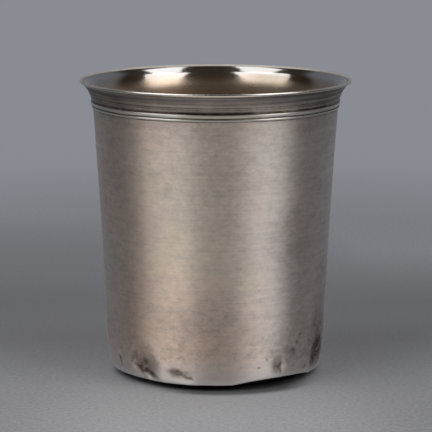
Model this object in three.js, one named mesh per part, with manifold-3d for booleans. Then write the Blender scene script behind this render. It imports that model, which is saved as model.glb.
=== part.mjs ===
// Silver beaker made from sheet and wire: a tapering drum with a flared mouth and a tucked-in foot,
// a wire round the lip, two reed wires under the flare, and a dished base let in just above the foot's edge.
// Millimetres, +Z up. It stands on z = 0 about the Z axis, with its seam at the back (+Y).

import * as THREE from "three";
import { mergeVertices } from "three/addons/utils/BufferGeometryUtils.js";
import Module from "manifold-3d";

// Overall sizes
const beakerHeight = 80; // table to the top of the lip
const lipDiameter = 73.4; // over the lip wire
const neckDiameter = 66.2; // outside of the drum where the flare starts
const footDiameter = 59.6; // outside of the drum where it starts to tuck in

// Drum
const sheetThickness = 0.7;
const sideHollow = 0.3; // how far the side curves in from a straight taper
const flareHeight = 8.5; // start of the flare to the top of the lip
const flarePull = 5.7; // how far the flare's curve is led on along the side before it turns to the lip
const tuckHeight = 9.5; // table to where the foot starts to tuck in
const tuckRadius = 28; // radius of the tuck, at the middle of the sheet
const edgeHeight = 1.4; // table to the drum's lower edge

// Wires
const lipWireDiameter = 0.9;
const upperReedWidth = 1.05;
const lowerReedWidth = 0.65;
const reedRise = 0.32; // how far a reed stands out from the drum
const reedDrop = 5.7; // top of the lip to the top of the upper reed
const reedGroove = 0.2; // bare drum between the reeds

// Base, seam and solder
const baseThickness = 0.8;
const restDiameter = 42; // flat middle of the base, which touches the table
const baseInset = 0.7; // from the drum's lower edge up to the edge of the base
const seamWidth = 0.5;
const filletSize = 1.1; // solder fillet round the base
const jointGap = 0.05; // between two pieces that are soldered together

const facets = 72; // round the beaker

const wasm = await Module();
wasm.setup();

// Points along a row of curves, without the doubles where one curve meets the next
function follow(...stretches) {
  const points = [];
  for (const [curve, steps] of stretches) {
    for (const point of curve.getPoints(steps)) {
      if (points.length === 0 || points.at(-1).distanceTo(point) > 1e-6) {
        points.push(point);
      }
    }
  }
  return points;
}

// The same points moved sideways, to the right of the way they run
function offset(points, distance) {
  return points.map((point, i) => {
    const before = points[Math.max(i - 1, 0)];
    const after = points[Math.min(i + 1, points.length - 1)];
    const along = after.clone().sub(before).normalize();
    return new THREE.Vector2(point.x + distance * along.y, point.y - distance * along.x);
  });
}

// Radius of a rising line of points at a height
function radiusAt(points, height) {
  for (let i = 1; i < points.length; i += 1) {
    const [low, high] = [points[i - 1], points[i]];
    if (low.y <= height && height <= high.y) {
      return THREE.MathUtils.mapLinear(height, low.y, high.y, low.x, high.x);
    }
  }
  throw new Error(`no radius at height ${height}`);
}

// The stretch of a rising line of points between two heights
function stretch(points, bottom, top) {
  return [
    new THREE.Vector2(radiusAt(points, bottom), bottom),
    ...points.filter((point) => point.y > bottom + 1e-3 && point.y < top - 1e-3),
    new THREE.Vector2(radiusAt(points, top), top),
  ];
}

// A solid turned about Z from a section that starts and ends on the axis, or a ring from one that closes
function turned(section) {
  return new THREE.LatheGeometry(section, facets).rotateX(Math.PI / 2);
}

function ring(section) {
  return turned([...section, section[0]]);
}

// Boolean bodies from geometry, and back
function bodyOf(geometry) {
  const bare = geometry.clone();
  bare.deleteAttribute("normal");
  bare.deleteAttribute("uv");
  const merged = mergeVertices(bare, 1e-4);
  const mesh = new wasm.Mesh({
    numProp: 3,
    vertProperties: new Float32Array(merged.attributes.position.array),
    triVerts: new Uint32Array(merged.index.array),
  });
  return new wasm.Manifold(mesh);
}

function geometryOf(body) {
  const mesh = body.getMesh();
  const geometry = new THREE.BufferGeometry();
  geometry.setAttribute("position", new THREE.BufferAttribute(mesh.vertProperties, 3));
  geometry.setIndex(new THREE.BufferAttribute(mesh.triVerts, 1));
  geometry.computeVertexNormals();
  return geometry;
}

// A named piece with its own finish
function piece(name, geometry, color, roughness) {
  const material = new THREE.MeshStandardMaterial({ color, roughness, metalness: 1 });
  const mesh = new THREE.Mesh(geometry, material);
  mesh.name = name;
  return mesh;
}

// Middle line of the sheet: the side, hollow between foot and neck, and the tuck below it
const half = sheetThickness / 2;
const sideFoot = new THREE.Vector2(footDiameter / 2 - half, tuckHeight);
const neck = new THREE.Vector2(neckDiameter / 2 - half, beakerHeight - flareHeight);
const sideMiddle = sideFoot.clone().add(neck).divideScalar(2);
const sidePull = new THREE.Vector2(sideMiddle.x - 2 * sideHollow, sideMiddle.y);
const side = new THREE.QuadraticBezierCurve(sideFoot, sidePull, neck);
const footLean = Math.atan2(sidePull.x - sideFoot.x, sidePull.y - sideFoot.y);
const tuckCentre = new THREE.Vector2(
  sideFoot.x - tuckRadius * Math.cos(footLean), sideFoot.y + tuckRadius * Math.sin(footLean));
const edgeLean = Math.asin((tuckCentre.y - edgeHeight - half) / tuckRadius);
const tuck = new THREE.EllipseCurve(
  tuckCentre.x, tuckCentre.y, tuckRadius, tuckRadius, -edgeLean, -footLean);

// The mouth: a trumpet curve from the neck, aimed at the middle of the lip wire
const lipRadius = lipWireDiameter / 2;
const lipCentre = new THREE.Vector2(lipDiameter / 2 - lipRadius, beakerHeight - lipRadius);
const neckAlong = neck.clone().sub(sidePull).normalize();
const flareControl = neck.clone().addScaledVector(neckAlong, flarePull);
const lipAlong = lipCentre.clone().sub(flareControl).normalize();
const sheetEnd = lipCentre.clone().addScaledVector(lipAlong, -lipRadius - jointGap);
const flare = new THREE.QuadraticBezierCurve(neck, flareControl, sheetEnd);

const midline = follow([tuck, 5], [side, 8], [flare, 7]);
const outside = offset(midline, half);
const inside = offset(midline, -half);
const lining = offset(midline, -half - jointGap);

// Drum, rounded at its lower edge, with a slot down its back, and the solder that fills the slot
const edgeRound = new THREE.EllipseCurve(
  midline[0].x, midline[0].y, half, half, -Math.PI - edgeLean, -edgeLean);
const wall = bodyOf(ring([...edgeRound.getPoints(4), ...outside.slice(1), ...inside.slice(1).reverse()]));
const stripLength = 2 * beakerHeight; // long enough to pass both ends of the drum
const slot = new THREE.BoxGeometry(seamWidth + 2 * jointGap, lipDiameter, stripLength);
const strip = new THREE.BoxGeometry(seamWidth, lipDiameter, stripLength);
slot.translate(0, lipDiameter / 2, beakerHeight / 2);
strip.translate(0, lipDiameter / 2, beakerHeight / 2);
const drum = geometryOf(wall.subtract(bodyOf(slot)));
const sideSeamSolder = geometryOf(wall.intersect(bodyOf(strip)));

// Lip wire
const lipSection = new THREE.EllipseCurve(lipCentre.x, lipCentre.y, lipRadius, lipRadius);
const lipWire = ring(lipSection.getPoints(8).slice(0, -1));

// Reed wires: flat against the drum and rounded outside, with a bare groove between them
function reed(top, width) {
  const bottom = top - width;
  const backTop = new THREE.Vector2(radiusAt(outside, top) + jointGap, top);
  const backBottom = new THREE.Vector2(radiusAt(outside, bottom) + jointGap, bottom);
  const middle = backTop.clone().add(backBottom).divideScalar(2);
  const lean = Math.atan2(backTop.x - backBottom.x, width);
  const dome = new THREE.EllipseCurve(
    middle.x, middle.y, reedRise - jointGap, backTop.distanceTo(backBottom) / 2,
    -Math.PI / 2, Math.PI / 2, false, -lean);
  return ring(dome.getPoints(6));
}

const upperReedTop = beakerHeight - reedDrop;
const lowerReedTop = upperReedTop - upperReedWidth - reedGroove;
const upperReedWire = reed(upperReedTop, upperReedWidth);
const lowerReedWire = reed(lowerReedTop, lowerReedWidth);

// Base: a disc with a flat middle, whose margin sweeps up to the inside of the drum
const baseEdge = edgeHeight + baseInset;
const restRadius = restDiameter / 2;
const baseRim = new THREE.Vector2(radiusAt(lining, baseEdge), baseEdge);
const baseRimTop = new THREE.Vector2(radiusAt(lining, baseEdge + baseThickness), baseEdge + baseThickness);
const sweep = (baseRim.x - restRadius) / 2;
const margin = new THREE.CubicBezierCurve(
  new THREE.Vector2(restRadius, 0), new THREE.Vector2(restRadius + sweep, 0),
  new THREE.Vector2(baseRim.x - sweep, baseEdge), baseRim);
const underside = [new THREE.Vector2(0, 0), ...margin.getPoints(5)];
const topside = underside.map((point) => new THREE.Vector2(point.x, point.y + baseThickness));
topside[topside.length - 1] = baseRimTop;
const baseDisc = turned([...underside, ...topside.reverse()]);

// Solder fillet in the corner between the base and the inside of the drum
const filletBottom = baseRimTop.y + jointGap;
const filletTop = filletBottom + filletSize;
const filletBack = stretch(lining, filletBottom, filletTop);
const filletToe = new THREE.Vector2(filletBack[0].x - filletSize, filletBottom);
const filletPull = filletToe.clone().lerp(filletBack.at(-1), 0.5).lerp(filletBack[0], 0.5);
const filletFace = new THREE.QuadraticBezierCurve(filletBack.at(-1), filletPull, filletToe);
const baseSolder = ring([...filletBack, ...filletFace.getPoints(3).slice(1)]);

const mouth = new THREE.Group();
mouth.add(
  piece("lip_wire", lipWire, 0xc9c3ba, 0.25),
  piece("upper_reed_wire", upperReedWire, 0xb3aba0, 0.35),
  piece("lower_reed_wire", lowerReedWire, 0xada59a, 0.36));

const foot = new THREE.Group();
foot.add(
  piece("base_disc", baseDisc, 0xa89f93, 0.4),
  piece("base_solder", baseSolder, 0x9c9486, 0.45));

const beaker = new THREE.Group();
beaker.name = "silver_beaker";
beaker.add(
  piece("drum", drum, 0xaaa196, 0.38),
  piece("side_seam_solder", sideSeamSolder, 0x9a9283, 0.42),
  mouth,
  foot);

export default beaker;
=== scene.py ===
import bpy
import math
import numpy as np
from mathutils import Matrix, Vector


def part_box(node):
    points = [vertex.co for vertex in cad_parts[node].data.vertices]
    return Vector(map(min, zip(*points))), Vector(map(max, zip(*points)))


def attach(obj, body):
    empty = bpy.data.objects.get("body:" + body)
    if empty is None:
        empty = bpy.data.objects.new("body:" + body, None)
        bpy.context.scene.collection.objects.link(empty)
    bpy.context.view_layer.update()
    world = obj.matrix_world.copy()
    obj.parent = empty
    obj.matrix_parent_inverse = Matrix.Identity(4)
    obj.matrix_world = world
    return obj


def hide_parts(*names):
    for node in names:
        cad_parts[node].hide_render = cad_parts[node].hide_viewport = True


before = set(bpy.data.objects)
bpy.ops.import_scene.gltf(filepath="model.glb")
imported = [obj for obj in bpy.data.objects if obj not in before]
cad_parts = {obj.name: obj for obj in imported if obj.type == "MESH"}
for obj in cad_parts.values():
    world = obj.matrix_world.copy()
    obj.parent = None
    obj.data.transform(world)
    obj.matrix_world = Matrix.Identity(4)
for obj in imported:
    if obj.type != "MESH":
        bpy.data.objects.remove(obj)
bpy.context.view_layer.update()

mm = 0.001
print("frame loaded:", ", ".join(sorted(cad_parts)))


# Node trees

class Wire:
    # one socket of a node tree, or the bare tree; sums and products of values add Math nodes
    def __init__(self, tree, socket=None):
        self.tree = tree
        self.socket = socket

    def make(self, kind, settings=None, links=None, out=0):
        # any node: its type, its settings, then the values or wires of its sockets
        node = self.tree.nodes.new(kind)
        for name, value in (settings or {}).items():
            if name == "stops":
                ramp = node.color_ramp
                while len(ramp.elements) < len(value):
                    ramp.elements.new(1)
                for element, (position, colour) in zip(ramp.elements, value):
                    element.position = position
                    element.color = (*colour, 1)
            else:
                setattr(node, name, value)
        for name, value in (links or {}).items():
            if isinstance(value, Wire):
                self.tree.links.new(value.socket, node.inputs[name])
            else:
                node.inputs[name].default_value = value
        return Wire(self.tree, node.outputs[out] if node.outputs else None)

    def other(self, out):
        return Wire(self.tree, self.socket.node.outputs[out])

    def maths(self, operation, *values):
        return self.make("ShaderNodeMath", {"operation": operation}, dict(enumerate(values)))

    def __add__(self, value):
        return self.maths("ADD", self, value)

    def __radd__(self, value):
        return self.maths("ADD", value, self)

    def __sub__(self, value):
        return self.maths("SUBTRACT", self, value)

    def __rsub__(self, value):
        return self.maths("SUBTRACT", value, self)

    def __mul__(self, value):
        return self.maths("MULTIPLY", self, value)

    def __rmul__(self, value):
        return self.maths("MULTIPLY", value, self)

    def __truediv__(self, value):
        return self.maths("DIVIDE", self, value)

    def __pow__(self, value):
        return self.maths("POWER", self, value)

    def __neg__(self):
        return self.maths("MULTIPLY", self, -1)

    def between(self, start, full):
        # eases from 0 at start to 1 at full, which may be the lesser
        ends = {"Value": self, "From Min": start, "From Max": full}
        return self.make("ShaderNodeMapRange", {"interpolation_type": "SMOOTHSTEP"}, ends)

    def band(self, low, high, soft):
        # 1 from low to high
        return self.between(low - soft, low) * self.between(high + soft, high)

    def zones(self, spans, unit=1):
        # the eased zones along this wire, by name
        return {name: self.between(start * unit, full * unit) for name, (start, full) in spans.items()}

    def upTo(self, most):
        return self.maths("MINIMUM", self, most)

    def axes(self):
        split = self.make("ShaderNodeSeparateXYZ", links={0: self})
        return split, split.other(1), split.other(2)

    def vector(self, x, y, z):
        return self.make("ShaderNodeCombineXYZ", links={0: x, 1: y, 2: z})

    def mix(self, a, b):
        # colours a to b, by this wire
        colours = {6: a if isinstance(a, Wire) else (*a, 1), 7: b if isinstance(b, Wire) else (*b, 1)}
        return self.make("ShaderNodeMix", {"data_type": "RGBA"}, {0: self, **colours}, out=2)

    def noise(self, scale, detail=3.0, rough=0.55, stretch=(1, 1, 1), shift=0.0):
        # noise on this vector, drawn out along the axes that have a small stretch
        ways = {0: self, 1: stretch, 2: (shift,) * 3}
        place = self.make("ShaderNodeVectorMath", {"operation": "MULTIPLY_ADD"}, ways)
        links = {"Vector": place, "Scale": scale, "Detail": detail, "Roughness": rough}
        return self.make("ShaderNodeTexNoise", links=links)


def newFinish(name):
    # a material with an empty tree
    material = bpy.data.materials.new(name)
    material.use_nodes = True
    material.node_tree.nodes.clear()
    return material, Wire(material.node_tree)


def metal(tree, sockets):
    # the metal shader on the material's output
    shader = tree.make("ShaderNodeBsdfPrincipled", links={"Metallic": 1.0, **sockets})
    tree.make("ShaderNodeOutputMaterial", links={"Surface": shader})


# Sections of the turned pieces, as (radius, height) points in metres

def arc(centre, radius, start, end, steps):
    turn = np.linspace(start, end, steps + 1)
    return np.column_stack((centre[0] + radius * np.cos(turn), centre[1] + radius * np.sin(turn)))


def bend(a, b, c, steps):
    # quadratic curve from a to c, pulled towards b
    t = np.linspace(0, 1, steps + 1)[:, None]
    return (1 - t) ** 2 * np.array(a) + 2 * t * (1 - t) * np.array(b) + t ** 2 * np.array(c)


def beside(points, distance):
    # the same line moved to the right of the way it runs
    along = np.gradient(points, axis=0)
    along /= np.linalg.norm(along, axis=1)[:, None]
    return points + distance * np.column_stack((along[:, 1], -along[:, 0]))


def radiusAt(points, height):
    return float(np.interp(height, points[:, 1], points[:, 0]))


# The beaker's line, down the middle of its sheet

lipLow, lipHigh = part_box("lip_wire")

beaker = {
    "top": lipHigh.z,
    "lipRadius": lipHigh.x,
    "wireRadius": (lipHigh.z - lipLow.z) / 2,
    "neckRadius": 33.1 * mm,
    "flareHeight": 8.5 * mm,
    "flarePull": 5.7 * mm,       # how far the flare is led on along the side
    "footRadius": 29.8 * mm,
    "tuckHeight": 9.5 * mm,      # where the foot starts to tuck in
    "tuckBend": 28 * mm,
    "edgeHeight": 1.6 * mm,      # lower edge of the drum
    "hollow": 0.3 * mm,          # how far the side curves in
    "sheet": 0.7 * mm,
    "gap": 0.05 * mm,            # at a soldered joint
    "tuckSteps": 28,
    "sideSteps": 40,
    "flareSteps": 24,
}


def middleLine(size):
    half = size["sheet"] / 2
    foot = np.array((size["footRadius"] - half, size["tuckHeight"]))
    neck = np.array((size["neckRadius"] - half, size["top"] - size["flareHeight"]))
    pull = (foot + neck) / 2 - (2 * size["hollow"], 0)
    side = bend(foot, pull, neck, size["sideSteps"])

    footLean = math.atan2(pull[0] - foot[0], pull[1] - foot[1])
    tuckCentre = foot + size["tuckBend"] * np.array((-math.cos(footLean), math.sin(footLean)))
    edgeLean = math.asin((tuckCentre[1] - size["edgeHeight"] - half) / size["tuckBend"])
    tuck = arc(tuckCentre, size["tuckBend"], -edgeLean, -footLean, size["tuckSteps"])

    # the flare leaves along the side and ends against the lip wire
    lip = np.array((size["lipRadius"] - size["wireRadius"], size["top"] - size["wireRadius"]))
    turn = neck + size["flarePull"] * (neck - pull) / np.linalg.norm(neck - pull)
    aim = (lip - turn) / np.linalg.norm(lip - turn)
    flareEnd = lip - aim * (size["wireRadius"] + size["gap"])
    flare = bend(neck, turn, flareEnd, size["flareSteps"])
    return np.vstack((tuck, side[1:], flare[1:])), lip, edgeLean


midline, lipCentre, edgeLean = middleLine(beaker)
outside = beside(midline, beaker["sheet"] / 2)
inside = beside(midline, -beaker["sheet"] / 2)
lining = beside(midline, -beaker["sheet"] / 2 - beaker["gap"])
print("beaker's line:", len(midline), "points")


# Bruises of the foot: the sheet pushed in, and its edge bent up
# angles in degrees from the front, positive to the right; slants in degrees; sizes in mm

bruises = [
    {"angle": -42, "height": 5.8, "wide": 7.2, "high": 5.1, "slant": -8, "push": 1.1, "sharp": 2.0},
    {"angle": -36.5, "height": 2.9, "wide": 4.0, "high": 1.3, "slant": -22, "push": 0.15, "sharp": 1.5},
    {"angle": -19, "height": 4.1, "wide": 5.2, "high": 2.2, "slant": -15, "push": 0.55, "sharp": 2.0},
    {"angle": -61.5, "height": 5.3, "wide": 1.3, "high": 2.4, "push": 0.4, "sharp": 1.5},
    {"angle": 35, "height": 6.0, "wide": 2.4, "high": 3.2, "push": 0.25, "sharp": 2.0},
    {"angle": 66, "height": 6.2, "wide": 4.6, "high": 6.2, "slant": 10, "push": 1.0, "sharp": 2.0},
    {"angle": 36, "height": 1.0, "wide": 13.5, "high": 5.0, "push": -0.3, "lift": 1.1, "sharp": 0.8},
    {"angle": -55, "height": 1.0, "wide": 14.0, "high": 5.0, "lift": 0.3},
]

# noise that bends the borders of marks
borders = {"coarse": 190, "fine": 520, "sideways": 0.05, "upward": 1.4 * mm}

unevenness = {
    "sheetNoise": 45,
    "sheetDepth": 0.25 * mm,
    "sheetBand": (6 * mm, 62 * mm, 6 * mm),
    "edgeNoise": 110,            # the edge was never quite true
    "edgeWave": 0.5 * mm,
    "edgeZone": (4 * mm, 1 * mm),
    "baseZone": (0.8 * beaker["footRadius"], 0.92 * beaker["footRadius"]),  # the base's middle stays
}


def ragged(place, angle, height, amount):
    # an angle and a height that wander a little
    coarse = place.noise(borders["coarse"], 2, 0.5, shift=0.5) - 0.5
    fine = place.noise(borders["fine"], 3, 0.6, shift=0.9) - 0.5
    bentAngle = angle + (coarse * 3 + fine) * (borders["sideways"] * amount)
    bentHeight = height + (fine - 2 * coarse) * (borders["upward"] * amount)
    return bentAngle, bentHeight


def closeness(angle, height, mark):
    # 1 at the middle of a mark, falling to 0 at its border
    across = (angle - math.radians(mark["angle"])) * beaker["footRadius"]
    up = height - mark["height"] * mm
    slant = math.radians(mark.get("slant", 0))
    along = (across * math.cos(slant) + up * math.sin(slant)) / (mark["wide"] * mm)
    square = (up * math.cos(slant) - across * math.sin(slant)) / (mark["high"] * mm)
    left = 1 - along * along - square * square
    return left.maths("MAXIMUM", left, 0) ** mark.get("sharp", 1)


turnSteps = 480
mergeDistance = 0.0005 * mm
smoothUpTo = math.radians(40)  # edges with a greater angle stay sharp
pathRadius = beaker["footRadius"]


def turningTree(marks, uneven):
    # sweeps a section round the beaker's axis and bruises the result
    tree = bpy.data.node_groups.new("turnedSilver", "GeometryNodeTree")
    sockets = (("Section", "Geometry"), ("Steps", "Int"), ("Start", "Float"), ("Sweep", "Float"),
               ("Closed", "Bool"), ("Path radius", "Float"), ("Outside finish", "Material"),
               ("Inside finish", "Material"))
    for name, kind in sockets:
        tree.interface.new_socket(name=name, in_out="INPUT", socket_type="NodeSocket" + kind)
    tree.interface.new_socket(name="Piece", in_out="OUTPUT", socket_type="NodeSocketGeometry")
    given = Wire(tree).make("NodeGroupInput")

    def attribute(label):
        return given.make("GeometryNodeInputNamedAttribute", {"data_type": "FLOAT"}, {"Name": label})

    # the sweep, with every point put back on its exact circle
    path = given.make("GeometryNodeCurveArc", {"mode": "RADIUS"}, {
        "Resolution": given.other("Steps"), 4: given.other("Path radius"),
        "Start Angle": given.other("Start"), "Sweep Angle": given.other("Sweep")})
    path = given.make("GeometryNodeSetSplineCyclic", links={0: path, "Cyclic": given.other("Closed")})
    path = given.make("GeometryNodeSetCurveNormal", {"mode": "Z_UP"}, {0: path})
    share = given.make("GeometryNodeInputIndex") / (given.other("Steps") - 1)
    path = given.make("GeometryNodeStoreNamedAttribute", {"data_type": "FLOAT", "domain": "POINT"}, {
        0: path, "Name": "turn", "Value": given.other("Start") + given.other("Sweep") * share})
    section = given.make("GeometryNodeMeshToCurve", links={0: given.other("Section")})
    shell = given.make("GeometryNodeCurveToMesh", links={0: path, 1: section, "Fill Caps": True})
    place = given.make("GeometryNodeInputPosition")
    x, y, z = place.axes()
    turn = attribute("turn")
    reach = attribute("reach")
    exact = given.vector(reach * given.maths("COSINE", turn), reach * given.maths("SINE", turn), z)
    shell = given.make("GeometryNodeSetPosition", links={0: shell, "Position": exact})
    shell = given.make("GeometryNodeMergeByDistance", links={0: shell, "Distance": mergeDistance})

    # the bruises and the unevenness
    radius = given.maths("SQRT", x * x + y * y)
    angle = given.maths("ARCTAN2", x, -y)
    push = (place.noise(uneven["sheetNoise"], 1, shift=0.6) - 0.5) * z.band(*uneven["sheetBand"])
    push = push * uneven["sheetDepth"]
    lift = (place.noise(uneven["edgeNoise"], 1) - 0.5) * z.between(*uneven["edgeZone"])
    lift = lift * uneven["edgeWave"]
    nearAngle, nearHeight = ragged(place, angle, z, amount=0.4)
    for mark in marks:
        weight = closeness(nearAngle, nearHeight, mark)
        push = weight * (mark.get("push", 0) * mm) + push
        lift = weight * (mark.get("lift", 0) * mm) + lift
    rim = radius.between(*uneven["baseZone"])
    push = push * rim
    shift = given.vector(-x / radius * push, -y / radius * push, lift * rim)
    shell = given.make("GeometryNodeSetPosition", links={0: shell, "Offset": shift})

    # shading and finishes
    corner = given.make("GeometryNodeInputMeshEdgeAngle")
    shell = given.make("GeometryNodeSetShadeSmooth", links={0: shell})
    shell = given.make("GeometryNodeSetShadeSmooth", {"domain": "EDGE"}, {
        0: shell, "Shade Smooth": corner.maths("LESS_THAN", corner, smoothUpTo)})
    shell = given.make("GeometryNodeRealizeInstances", links={0: shell})
    shell = given.make("GeometryNodeSetMaterial", links={
        0: shell, "Material": given.other("Outside finish")})
    isInside = attribute("inside")
    shell = given.make("GeometryNodeSetMaterial", links={
        0: shell, "Selection": isInside.maths("GREATER_THAN", isInside, 0.5),
        "Material": given.other("Inside finish")})
    given.make("NodeGroupOutput", links={0: shell})
    return tree


turning = turningTree(bruises, unevenness)
fullTurn = {
    "steps": turnSteps, "start": 0.0, "sweep": math.tau * (turnSteps - 1) / turnSteps, "closed": True,
}
print("turning tree:", len(bruises), "bruises")


def turned(name, node, section, finishes, closed=True, marks=None, sweep=fullTurn):
    # one piece: its section as a mesh line, turned by the tree and made a plain mesh
    line = bpy.data.meshes.new(name + "Section")
    places = [(radius - pathRadius, -height, 0) for radius, height in section]
    count = len(places)
    edges = [(i, (i + 1) % count) for i in range(count if closed else count - 1)]
    line.from_pydata(places, edges, [])
    for label, values in {"reach": section[:, 0], "inside": np.zeros(count), **(marks or {})}.items():
        line.attributes.new(label, "FLOAT", "POINT").data.foreach_set("value", values)
    piece = bpy.data.objects.new(name, line)
    bpy.context.scene.collection.objects.link(piece)

    modifier = piece.modifiers.new("turning", "NODES")
    modifier.node_group = turning
    inputs = {"Steps": sweep["steps"], "Start": sweep["start"], "Sweep": sweep["sweep"],
              "Closed": sweep["closed"], "Path radius": pathRadius,
              "Outside finish": finishes[0], "Inside finish": finishes[-1]}
    for socket in turning.interface.items_tree:
        if socket.name in inputs:
            modifier[socket.identifier] = inputs[socket.name]
    seen = bpy.context.evaluated_depsgraph_get()
    made = bpy.data.meshes.new_from_object(piece.evaluated_get(seen))
    piece.modifiers.remove(modifier)
    piece.data = made
    made.name = name
    bpy.data.meshes.remove(line)
    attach(piece, "root")
    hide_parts(node)
    print("piece:", name, len(made.polygons), "faces")


# Finishes

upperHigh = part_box("upper_reed_wire")[1]
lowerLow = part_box("lower_reed_wire")[0]
reedEnds = (0.75, 1.25)  # angles in radians, to both sides, where the reeds fade

agedLook = {
    "cool": (0.885, 0.822, 0.79),
    "warm": (0.95, 0.775, 0.66),
    "golden": (0.92, 0.80, 0.625),
    "dull": (0.40, 0.338, 0.30),
    "tarnish": (0.25, 0.234, 0.226),
    "dirtAndShade": (0.15, 0.10, 0.075),
    "grooveDirtAndShade": (0.035, 0.03, 0.028),
    "rubbedSheen": (0.93, 0.91, 0.88),
    "rough": 0.59,
    "grain": 0.9,
    "zones": {  # heights in mm where a zone starts and where it is full
        "foot": (11, 3), "pitted": (18, 8), "reddish": (40, 15), "warmer": (50, 15), "greyer": (52, 32),
        "neck": (62, 73), "flare": (73.9, 74.6), "darkFlare": (75.5, 78.5)},
    "sides": {  # angles in radians where a side starts and where it is full
        "left": (0.6, 0.25), "leftward": (0.6, -0.9), "farLeft": (-0.75, -1.1)},
    "stripe": (-0.6, -0.42, 0.2),    # warmer, left of the front
    "packedDirtAndShade": (-0.22, 0.28, 0.2),    # where the dirt and painted shade over the upper reed are thickest
    "scribed": (75.5, 76.05, 77.0),  # heights of fine lines round the neck, in mm
}

stainsAndShade = [  # dirt and painted shade in and round the bruises, pits, and brown patches higher up
    {"angle": -42, "height": 5.6, "wide": 6.8, "high": 4.7, "slant": -8, "dark": 0.38, "sharp": 1.5},
    {"angle": -43, "height": 6.2, "wide": 8.2, "high": 5.6, "dark": 0.06},
    {"angle": -46, "height": 5.7, "wide": 1.7, "high": 1.3, "dark": 0.32},
    {"angle": -40.2, "height": 6.9, "wide": 1.6, "high": 1.1, "dark": 0.25},
    {"angle": -43, "height": 4.5, "wide": 2.2, "high": 0.9, "slant": -15, "dark": 0.35},
    {"angle": -50.5, "height": 6.5, "wide": 1.0, "high": 1.4, "dark": 0.25},
    {"angle": -35.5, "height": 3.2, "wide": 4.4, "high": 1.2, "slant": -24, "dark": 0.72},
    {"angle": -47.5, "height": 8.2, "wide": 1.7, "high": 1.8, "dark": 0.35},
    {"angle": -39.5, "height": 2.1, "wide": 1.8, "high": 0.6, "slant": -15, "dark": 0.5},
    {"angle": -19, "height": 4.5, "wide": 5.0, "high": 2.3, "slant": -16, "dark": 0.4, "sharp": 1.5},
    {"angle": -22, "height": 4.9, "wide": 2.6, "high": 1.6, "slant": -16, "dark": 0.4},
    {"angle": -15, "height": 3.6, "wide": 3.6, "high": 0.5, "slant": -16, "dark": 0.6},
    {"angle": -60.6, "height": 5.4, "wide": 1.1, "high": 1.9, "dark": 0.9},
    {"angle": 33.8, "height": 6.1, "wide": 2.6, "high": 3.6, "dark": 0.36, "sharp": 1.5},
    {"angle": 35, "height": 6.2, "wide": 0.8, "high": 1.4, "dark": 0.38},
    {"angle": 37.5, "height": 9.5, "wide": 6.0, "high": 7.5, "dark": 0.22},
    {"angle": 36, "height": 4.2, "wide": 0.4, "high": 1.6, "slant": -4, "dark": 0.5},
    {"angle": 67.5, "height": 7.2, "wide": 4.4, "high": 6.6, "slant": -8, "dark": 0.6, "sharp": 1.2},
    {"angle": 68, "height": 9, "wide": 7.5, "high": 11, "dark": 0.28},
    {"angle": 70, "height": 20, "wide": 6.5, "high": 14, "dark": 0.24},
    {"angle": 55.2, "height": 4.5, "wide": 0.7, "high": 0.8, "dark": 0.7},
    {"angle": 22.7, "height": 6.3, "wide": 0.7, "high": 0.6, "dark": 0.6},
    {"angle": 27.1, "height": 8.2, "wide": 0.6, "high": 0.5, "dark": 0.4},
    {"angle": 17.2, "height": 9.9, "wide": 0.7, "high": 0.5, "dark": 0.4},
    {"angle": 46.4, "height": 11.7, "wide": 0.7, "high": 0.8, "dark": 0.7},
    {"angle": 49.1, "height": 13.7, "wide": 0.6, "high": 0.6, "dark": 0.6},
    {"angle": 43.8, "height": 9.6, "wide": 1.0, "high": 1.4, "dark": 0.4},
    {"angle": -10, "height": 18, "wide": 15, "high": 10, "dark": 0.16},
    {"angle": -20, "height": 8.5, "wide": 5, "high": 7, "dark": 0.1},
    {"angle": -3, "height": 57, "wide": 15, "high": 19, "dark": 0.11},
]


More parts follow.
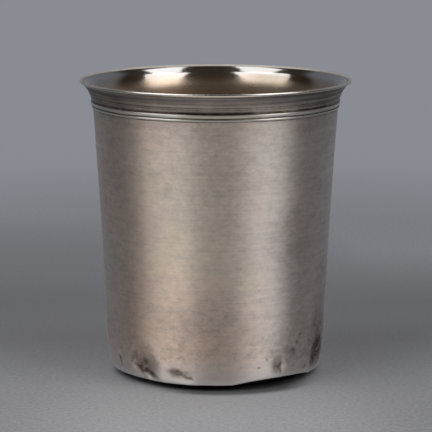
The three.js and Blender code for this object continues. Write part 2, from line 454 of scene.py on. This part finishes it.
def agedSilver(name, look, spots):
    # brushed round, dulled and stained, with dirt and painted shade in its bruises and over the upper
    # reed, and a painted highlight on its lower edge
    material, tree = newFinish(name)
    place = tree.make("ShaderNodeTexCoord", out="Object")
    x, y, z = place.axes()
    angle = tree.maths("ARCTAN2", x, -y)
    # scale, detail, roughness, stretch and shift of each noise
    lines = place.noise(1500, 2, 0.6, (0.016, 0.016, 1), 0.2)
    mottle = place.noise(120, 5, 0.65, (0.7, 0.7, 1), 0.31)
    speckle = place.noise(430, 6, 0.85, (1, 1, 1.25), 0.11)
    brushed = place.noise(430, 6, 0.85, (0.45, 0.45, 1.5), 0.23)
    patch = place.noise(34, 3, 0.55, (1, 1, 0.8), 0.7)
    rub = tree.make("ShaderNodeAttribute", {"attribute_name": "rub"}, out="Fac")
    zone = z.zones(look["zones"], mm)
    side = angle.zones(look["sides"])

    # clean metal: warmer to the left and low down, cool at the foot
    tint = mottle.between(0.36, 0.66) * (0.08 + 0.1 * side["left"]) + 0.04 + 0.07 * side["left"]
    tint = tint + side["leftward"] * 0.4
    tint = tint + zone["warmer"] * side["left"] * 0.45 + angle.band(*look["stripe"]) * 0.15
    tint = tint * (1 - 0.6 * side["farLeft"] * zone["greyer"])
    warm = (patch + 0.12 * zone["reddish"]).between(0.42, 0.56).mix(look["golden"], look["warm"])
    colour = (tint.upTo(1) * (1 - 0.85 * zone["foot"])).mix(look["cool"], warm)

    # dullness: streaks, patches and pits, less at the foot, and the whole of the flare
    dull = 0.25 * (0.5 - lines) + 0.2 * patch.between(0.5, 0.72) + 0.3 * (0.5 - mottle)
    dull = dull + zone["neck"] * 0.12 + 0.32 - 0.31 * zone["foot"]
    dull = dull + 0.7 * (0.5 - brushed)
    dull = dull + (0.8 + 0.8 * zone["pitted"]) * (0.5 - speckle)
    colour = dull.between(0, 1).mix(colour, look["dull"])
    under = 0.5 + 0.35 * zone["darkFlare"] + 1.6 * (0.5 - lines) + 0.7 * (0.5 - mottle)
    colour = (zone["flare"] * under).upTo(1).mix(colour, look["tarnish"])

    # dirt and painted shade: beside the reeds, along the scribed lines, in the bruises
    broken = mottle.between(0.62, 0.4)
    reedTop = upperHigh.z
    dirtAndShade = z.band(lowerLow.z - 0.12 * mm, reedTop, 0.12 * mm) * 0.55
    ends = tree.maths("ABSOLUTE", angle).between(*reedEnds)
    # the groove above the upper reed: dirt and painted shade, less towards the ends
    over = z.band(reedTop + 0.05 * mm, reedTop + 0.45 * mm, 0.15 * mm) * (1 - 0.4 * ends)
    dirtAndShade = dirtAndShade + over * (0.72 + 0.3 * broken)
    for height in look["scribed"]:
        line = z.band((height - 0.04) * mm, (height + 0.04) * mm, 0.1 * mm)
        dirtAndShade = dirtAndShade + line * (0.3 + 0.4 * broken)
    nearAngle, nearHeight = ragged(place, angle, z, amount=0.6)
    # bruises and patches darkened by dirt and by painted shade
    for spot in spots:
        dirtAndShade = dirtAndShade + closeness(nearAngle, nearHeight, spot) * spot["dark"]
    dirtAndShade = dirtAndShade * (1 + 3.4 * (0.5 - speckle) + 1.6 * (0.5 - mottle))
    colour = dirtAndShade.upTo(0.95).mix(colour, look["dirtAndShade"])
    # nearly black in the groove at the front: dirt and painted shade
    packedDirtAndShade = angle.band(*look["packedDirtAndShade"]) * z.band(reedTop, reedTop + 0.5 * mm, 0.25 * mm)
    colour = (packedDirtAndShade * (0.5 + 0.5 * broken)).mix(colour, look["grooveDirtAndShade"])
    # the lower edge rubbed bright, partly a painted highlight
    colour = (rub * 0.8).mix(colour, look["rubbedSheen"])

    rough = look["rough"] + 0.15 * (speckle - 0.5) + 0.1 * (mottle - 0.5)
    rough = rough + 0.1 * zone["flare"] - 0.2 * rub
    relief = {"Strength": 0.3, "Distance": 0.03 * mm, "Height": lines + speckle}
    bump = tree.make("ShaderNodeBump", links=relief)
    metal(tree, {"Base Color": colour, "Roughness": rough, "Normal": bump,
                 "Anisotropic": look["grain"], "Anisotropic Rotation": 0.25})
    return material


# heights in mm where a zone starts and where it is full
insideZones = {"brown": (75, 71), "lip": (75, 78.5), "dulled": (78.6, 77), "deep": (77.5, 75)}
dulledSides = {"right": (2, 16), "left": (-12, -20)}  # along X in mm
dulledBack = (0, 10 * mm)                             # along Y

insideLook = {
    "lip": (0.40, 0.395, 0.39), "metal": (0.52, 0.405, 0.31), "tarnish": (0.41, 0.26, 0.155),
    "dulled": (0.24, 0.205, 0.16), "rough": 0.11, "deeper": 0.155,
}


def polishedInside(name, look):
    # wiped bright, and browner where a cloth seldom reaches
    material, tree = newFinish(name)
    place = tree.make("ShaderNodeTexCoord", out="Object")
    x, y, z = place.axes()
    zone = z.zones(insideZones, mm)
    cloud = place.noise(90, 4, 0.6, shift=0.4)
    lines = place.noise(1500, 2, 0.5, (0.03, 0.03, 1))
    colour = zone["lip"].mix(look["metal"], look["lip"])
    colour = (cloud.between(0.4, 0.75) * 0.35 + zone["brown"] * 0.45).mix(colour, look["tarnish"])
    across = x.zones(dulledSides, mm)
    dulled = (across["right"] + across["left"] * 0.5) * y.between(*dulledBack) * zone["dulled"]
    dulled = dulled * (0.75 + 0.6 * (cloud - 0.5))
    colour = dulled.upTo(1).mix(colour, look["dulled"])
    rough = look["rough"] + 0.10 * (cloud - 0.5) + 0.06 * (lines - 0.5)
    rough = rough + zone["deep"] * look["deeper"]
    bump = tree.make("ShaderNodeBump", links={"Strength": 0.4, "Distance": 0.1 * mm, "Height": cloud})
    metal(tree, {"Base Color": colour, "Roughness": rough, "Normal": bump})
    return material


wireFront = (-0.22, 0.28, 0.15)  # angles in radians
wireBack = (-5 * mm, 12 * mm)    # along Y


def wireSilver(name, look):
    # drawn wire, rubbed on its crest and dark down its sides; on the reeds the bright crest is partly a
    # painted highlight and the dark sides partly painted shade
    material, tree = newFinish(name)
    place = tree.make("ShaderNodeTexCoord", out="Object")
    x, y = place.axes()[:2]
    angle = tree.maths("ARCTAN2", x, -y)
    crest = tree.make("ShaderNodeAttribute", {"attribute_name": "crest"}, out="Fac")
    cloud = place.noise(220, 3, 0.6)
    wearAndSheen = (crest + 0.5 * (cloud - 0.5)).between(look["sides"], look["sides"] + 0.5)
    colour = wearAndSheen.mix(look["dark"], look["bright"])
    # darker towards the front and towards the ends
    front = angle.band(*wireFront) * look.get("frontDarker", 0.0)
    ends = tree.maths("ABSOLUTE", angle).between(*reedEnds) * look.get("endDarker", 0.0)
    colour = (front + ends).mix(colour, look["dark"])
    back = y.between(*wireBack) * look.get("backRough", 0.0)
    rough = look["rough"] + 0.15 * (cloud - 0.5) + back
    metal(tree, {"Base Color": colour, "Roughness": rough,
                 "Anisotropic": look.get("grain", 0.0), "Anisotropic Rotation": 0.25})
    return material


lipLook = {
    "bright": (0.64, 0.595, 0.545), "dark": (0.45, 0.41, 0.36), "sides": -0.4,
    "rough": 0.25, "backRough": 0.3,
}
# reeds: a painted highlight along the crest and painted shade down the sides, besides wear and dirt, and
# darker at the front and the ends
reedLook = {
    "bright": (0.84, 0.80, 0.75), "dark": (0.15, 0.13, 0.11), "sides": 0.3,
    "rough": 0.4, "grain": 0.85, "frontDarker": 0.5, "endDarker": 0.35,
}
solderLook = {"bright": (0.66, 0.61, 0.53), "dark": (0.4, 0.35, 0.29), "sides": -0.3, "rough": 0.42}
baseLook = {
    "lip": (0.62, 0.51, 0.41), "metal": (0.62, 0.51, 0.41), "tarnish": (0.40, 0.30, 0.22),
    "dulled": (0.36, 0.28, 0.21), "rough": 0.32, "deeper": 0.0,
}
# the base's underside, painted nearly black as painted shade in the gap under the foot
underShadeLook = {"bright": (0.10, 0.09, 0.08), "dark": (0.04, 0.035, 0.03), "sides": -0.3, "rough": 0.5}

aged = agedSilver("agedSilver", agedLook, stainsAndShade)
polished = polishedInside("polishedInside", insideLook)
bright = wireSilver("brightLip", lipLook)
reeded = wireSilver("reedSilver", reedLook)
solder = wireSilver("silverSolder", solderLook)
baseMetal = polishedInside("baseSilver", baseLook)
underShade = wireSilver("baseUndersideShade", underShadeLook)
print("finishes made")


# Drum, and the solder that closes its seam at the back

seam = {"halfAngle": 0.25 * mm / beaker["lipRadius"], "slack": 0.0001, "steps": 3}
edgeLook = {"steps": 8, "rubbedSheen": (1.9 * mm, 3.6 * mm)}  # rubbed bright, and painted lighter as a painted highlight, up to the first height, then less


def wall(look):
    # the sheet's whole section, from its rounded lower edge up the outside and down the inside
    edge = arc(midline[0], beaker["sheet"] / 2, -math.pi - edgeLean, -edgeLean, look["steps"])
    section = np.vstack((edge, outside[1:], inside[:0:-1]))
    isInside = np.zeros(len(section))
    isInside[len(edge) + len(outside) - 1:] = 1
    # the lower edge: wear, and a painted highlight that offsets the dark floor it mirrors
    rub = np.interp(section[:, 1], look["rubbedSheen"], (1, 0)) * (1 - isInside)
    return section, {"inside": isInside, "rub": rub}


wallSection, wallMarks = wall(edgeLook)
slotAngle = seam["halfAngle"] + seam["slack"]
drumSweep = {
    "steps": turnSteps, "start": math.pi / 2 + slotAngle, "sweep": math.tau - 2 * slotAngle,
    "closed": False,
}
seamSweep = {
    "steps": seam["steps"], "start": math.pi / 2 - seam["halfAngle"], "sweep": 2 * seam["halfAngle"],
    "closed": False,
}
turned("drum", "drum", wallSection, (aged, polished), marks=wallMarks, sweep=drumSweep)
turned("sideSeamSolder", "side_seam_solder", wallSection, (solder, polished),
       marks=wallMarks, sweep=seamSweep)


# Wire round the lip

lipSteps = 48


def lipSection(steps):
    ring = arc(lipCentre, beaker["wireRadius"], 0, math.tau, steps)[:-1]
    along = (midline[-1] - midline[-2]) / np.linalg.norm(midline[-1] - midline[-2])
    inward = np.array((-along[1], along[0]))
    proud = (ring - lipCentre) @ inward - beaker["sheet"] / 2
    return ring - np.maximum(proud, 0)[:, None] * inward  # filed flush with the sheet


turned("lipWire", "lip_wire", lipSection(lipSteps), (bright,),
       marks={"crest": np.ones(lipSteps)})


# Reed wires, flat against the drum and round outside

reedSteps = 15


def reed(name, node):
    low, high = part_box(node)
    top = np.array((radiusAt(outside, high.z) + beaker["gap"], high.z))
    bottom = np.array((radiusAt(outside, low.z) + beaker["gap"], low.z))
    middle = (top + bottom) / 2
    rise = high.x - middle[0]
    turn = np.linspace(-math.pi / 2, math.pi / 2, reedSteps)[:, None]
    section = middle + (top - bottom) / 2 * np.sin(turn) + np.array((rise, 0)) * np.cos(turn)
    # crest: 1 along the middle of the reed, 0 at its edges, which places the painted highlight and the
    # painted shade
    turned(name, node, section, (reeded,), marks={"crest": np.cos(turn).ravel()})


reed("upperReedWire", "upper_reed_wire")
reed("lowerReedWire", "lower_reed_wire")


# Base, with a flat middle and a margin that sweeps up to the drum

base = {
    "thick": 0.8 * mm, "flatRadius": 21 * mm, "edge": 2.1 * mm, "fillet": 1.1 * mm,
    "flatSteps": 8, "marginSteps": 16, "filletBackSteps": 6, "filletFaceSteps": 8,
}


def baseSection(size):
    rim = np.array((radiusAt(lining, size["edge"]), size["edge"]))
    t = np.linspace(0, 1, size["marginSteps"] + 1)
    ease = t * t * (3 - 2 * t)
    margin = np.column_stack((size["flatRadius"] + t * (rim[0] - size["flatRadius"]), ease * rim[1]))
    radii = np.linspace(0, size["flatRadius"], size["flatSteps"] + 1)[:-1]
    under = np.vstack((np.column_stack((radii, np.zeros(len(radii)))), margin))
    over = under + (0, size["thick"])
    over[-1, 0] = radiusAt(lining, over[-1, 1])
    return np.vstack((under, over[::-1]))


discSection = baseSection(base)
discMarks = {"inside": np.repeat((0.0, 1.0), len(discSection) // 2)}
# the underside carries the painted shade of the gap under the foot
turned("baseDisc", "base_disc", discSection, (underShade, baseMetal),
       closed=False, marks=discMarks)


# Fillet of solder in the corner over the base

def filletSection(size):
    low = size["edge"] + size["thick"] + beaker["gap"]
    heights = np.linspace(low, low + size["fillet"], size["filletBackSteps"] + 1)
    back = np.column_stack(([radiusAt(lining, z) for z in heights], heights))
    toe = back[0] - (size["fillet"], 0)
    pull = (toe + back[-1]) / 4 + back[0] / 2
    return np.vstack((back, bend(back[-1], pull, toe, size["filletFaceSteps"])[1:]))


turned("baseSolder", "base_solder", filletSection(base), (solder,))


# Floor, light and camera

surroundings = {
    "front": (0.75, 0.737, 0.72), "side": (0.10, 0.098, 0.096), "back": (0.250, 0.262, 0.291),
    "frontWay": (-0.5, -0.9), "backWay": (0.4, 0.85),  # along Y, for a way one unit long
}

floorLook = {
    "size": 8.0,
    "near": [  # from the front of the beaker to behind it: where along Y in metres, and the paper's colour, painted lighter in front as painted light and darker behind as painted shade
        (-0.15, (0.362, 0.366, 0.379)), (-0.05, (0.356, 0.354, 0.363)), (-0.01, (0.306, 0.309, 0.320)),
        (0.034, (0.197, 0.198, 0.205)), (0.09, (0.145, 0.147, 0.157)), (0.177, (0.185, 0.191, 0.208)),
        (0.25, (0.235, 0.245, 0.268))],
    "speck": (0.095, 0.1, 0.113),
    "rough": 0.9,
    # painted shade: the paper is painted darker behind and to the right, at the front corners and along
    # the right side
    "behindRight": ((0.02, 0.06), (0.1, 0.177)),  # X and Y where an area starts and where it is full
    "frontCorners": ((0.02, 0.06), (0.02, -0.06)),
    "rightSide": ((-0.03, 0.06), (0.12, 0.04)),
    "far": (0.2, 0.42),  # distances where the paper runs into the backdrop
    "inFront": (0.02, 0.09),
    # a painted shadow on the paper round the foot, seen by the camera only
    "shade": {"x": 1.2 * mm, "y": -1.5 * mm, "radius": (32.5 * mm, 28.5 * mm), "dark": 0.72,
              "fromLeft": (-19 * mm, -4 * mm), "fromRight": (29 * mm, 17 * mm)},
}


def aroundColour(ahead, look):
    # what the metal mirrors at the level of the table, by how far back it lies
    sideways = ahead.between(*look["backWay"]).mix(look["side"], look["back"])
    return ahead.between(*look["frontWay"]).mix(sideways, look["front"])


def area(x, y, spans):
    return x.between(*spans[0]) * y.between(*spans[1])


def paperColour(tree, place, look):
    # the paper near the beaker, from front to back, with painted light in front and painted shade behind
    # and at the sides
    x, y = place.axes()[:2]
    first, last = look["near"][0][0], look["near"][-1][0]
    stops = [((along - first) / (last - first), colour) for along, colour in look["near"]]
    back = y + area(x, y, look["behindRight"]) * 0.07
    near = tree.make("ShaderNodeValToRGB", {"stops": stops}, {0: (back - first) / (last - first)})
    # painted shade at the front corners and along the right side
    edge = area(tree.maths("ABSOLUTE", x), y, look["frontCorners"]) * 0.3
    edge = edge + area(x, y, look["rightSide"]) * 0.1
    specks = place.noise(900, 4, 0.8).between(0.65, 0.25) * 0.4
    return (specks + edge).mix(near, look["speck"])


def paintedFootShadow(tree, x, y, look):
    # a painted shadow close to the foot, strongest to the right of its middle
    foot = tree.maths("SQRT", (x - look["x"]) ** 2 + (y - look["y"]) ** 2)
    across = x.between(*look["fromLeft"]) * x.between(*look["fromRight"])
    return foot.between(*look["radius"]) * across * look["dark"]


def makeFloor(look):
    # paper that runs into the backdrop's colour, for the camera and in the metal, and that glows just in
    # front of the beaker in the metal's reflections as a painted light
    material, tree = newFinish("paperFloor")
    place = tree.make("ShaderNodeTexCoord", out="Object")
    x, y = place.axes()[:2]
    ray = tree.make("ShaderNodeLightPath", out="Is Camera Ray")
    near = paperColour(tree, place, look)
    # the painted shadow round the foot, for camera rays only
    near = (paintedFootShadow(tree, x, y, look["shade"]) * ray).mix(near, (0, 0, 0))
    paper = tree.make("ShaderNodeBsdfPrincipled", links={"Base Color": near, "Roughness": look["rough"]})
    mirrored = (ray.other("Is Glossy Ray") + ray.other("Is Transmission Ray")).upTo(1)
    distance = tree.maths("SQRT", x * x + y * y)
    ahead = y / distance
    colour = mirrored.mix(surroundings["back"], aroundColour(ahead, surroundings))
    glow = tree.make("ShaderNodeEmission", links={"Color": colour, "Strength": 1.0})
    far = distance.between(*look["far"]) * (ray + mirrored).upTo(1)
    frontward = ahead.between(*surroundings["frontWay"])
    # painted light: the paper just in front glows in the metal's reflections
    inFront = distance.between(*look["inFront"]) * frontward * mirrored
    glowing = tree.maths("MAXIMUM", far, inFront)
    shader = tree.make("ShaderNodeMixShader", links={0: glowing, 1: paper, 2: glow})
    tree.make("ShaderNodeOutputMaterial", links={"Surface": shader})

    half = look["size"] / 2
    corners = [(-half, -half, 0), (half, -half, 0), (half, half, 0), (-half, half, 0)]
    mesh = bpy.data.meshes.new("floor")
    mesh.from_pydata(corners, [], [(0, 1, 2, 3)])
    mesh.materials.append(material)
    floor = bpy.data.objects.new("floor", mesh)
    bpy.context.scene.collection.objects.link(floor)


lampDistance = 1.35
# tall softboxes that lean over the beaker: bearing and elevation of their lower and upper edges
softboxes = [
    {"name": "leftSide", "low": (-51, 25), "high": (-67, 61), "wide": 0.97, "watts": 6.55},
    {"name": "leftOver", "low": (-58, 60), "high": (-131, 70.4), "wide": 0.46, "watts": 2.2},
    {"name": "rightSide", "low": (53, 21), "high": (67, 58), "wide": 0.76, "watts": 5.25},
    {"name": "rightOver", "low": (64, 56.4), "high": (126, 67.6), "wide": 0.43, "watts": 2.15},
]


def makeLamp(look):
    ends = []
    for bearing, elevation in (look["low"], look["high"]):
        side, up = math.radians(bearing), math.radians(elevation)
        way = Vector((math.cos(up) * math.sin(side), -math.cos(up) * math.cos(side), math.sin(up)))
        ends.append(way * lampDistance)
    lamp = bpy.data.lights.new(look["name"], "AREA")
    lamp.shape = "RECTANGLE"
    lamp.size = look["wide"]
    lamp.size_y = (ends[1] - ends[0]).length
    lamp.energy = look["watts"]
    holder = bpy.data.objects.new(look["name"], lamp)
    holder.location = (ends[0] + ends[1]) / 2
    away = holder.location.normalized()
    along = (ends[1] - ends[0]).normalized()
    holder.rotation_euler = Matrix((along.cross(away), along, away)).transposed().to_euler()
    bpy.context.scene.collection.objects.link(holder)


worldLook = {
    "above": (0.055, 0.043, 0.031), "light": (0.38, 0.38, 0.38),
    "aboveZone": (0.1, 0.45), "lightZone": (0.15, 0.8),  # along Z, for a way one unit long
    "backdropDepth": (0.22, 0.45), "backdropBand": (0.1, 0.6, 0.15),
}


def makeWorld(look):
    # a dim studio for the camera and in the metal, and soft light from overhead
    world = bpy.data.worlds.new("studio")
    world.use_nodes = True
    world.node_tree.nodes.clear()
    tree = Wire(world.node_tree)
    y, z = tree.make("ShaderNodeTexCoord", out="Generated").axes()[1:]
    backdrop = y.between(*look["backdropDepth"]) * z.band(*look["backdropBand"])
    shown = z.between(*look["aboveZone"]).mix(surroundings["side"], look["above"])
    shown = backdrop.mix(shown, surroundings["back"])
    ray = tree.make("ShaderNodeLightPath", out="Is Camera Ray")
    isShown = (ray + ray.other("Is Glossy Ray") + ray.other("Is Transmission Ray")).upTo(1)
    overhead = z.between(*look["lightZone"]).mix((0, 0, 0), look["light"])
    colour = isShown.mix(overhead, shown)
    light = tree.make("ShaderNodeBackground", links={"Color": colour, "Strength": 1.0})
    tree.make("ShaderNodeOutputWorld", links={"Surface": light})
    bpy.context.scene.world = world


cameraLook = {
    "place": (0.13 * mm, -640 * mm, 151.8 * mm), "pitch": 9.71, "lens": 198.2, "sensor": 36, "reach": 20,
}


def makeCamera(look):
    data = bpy.data.cameras.new("camera")
    data.sensor_width = look["sensor"]
    data.lens = look["lens"]
    data.clip_end = look["reach"]
    holder = bpy.data.objects.new("camera", data)
    holder.location = look["place"]
    holder.rotation_euler = (math.radians(90 - look["pitch"]), 0, 0)
    bpy.context.scene.collection.objects.link(holder)
    bpy.context.scene.camera = holder


makeFloor(floorLook)
for softbox in softboxes:
    makeLamp(softbox)
makeWorld(worldLook)
makeCamera(cameraLook)
bpy.context.scene.view_settings.view_transform = "Standard"
print("floor, lamps, world and camera set")
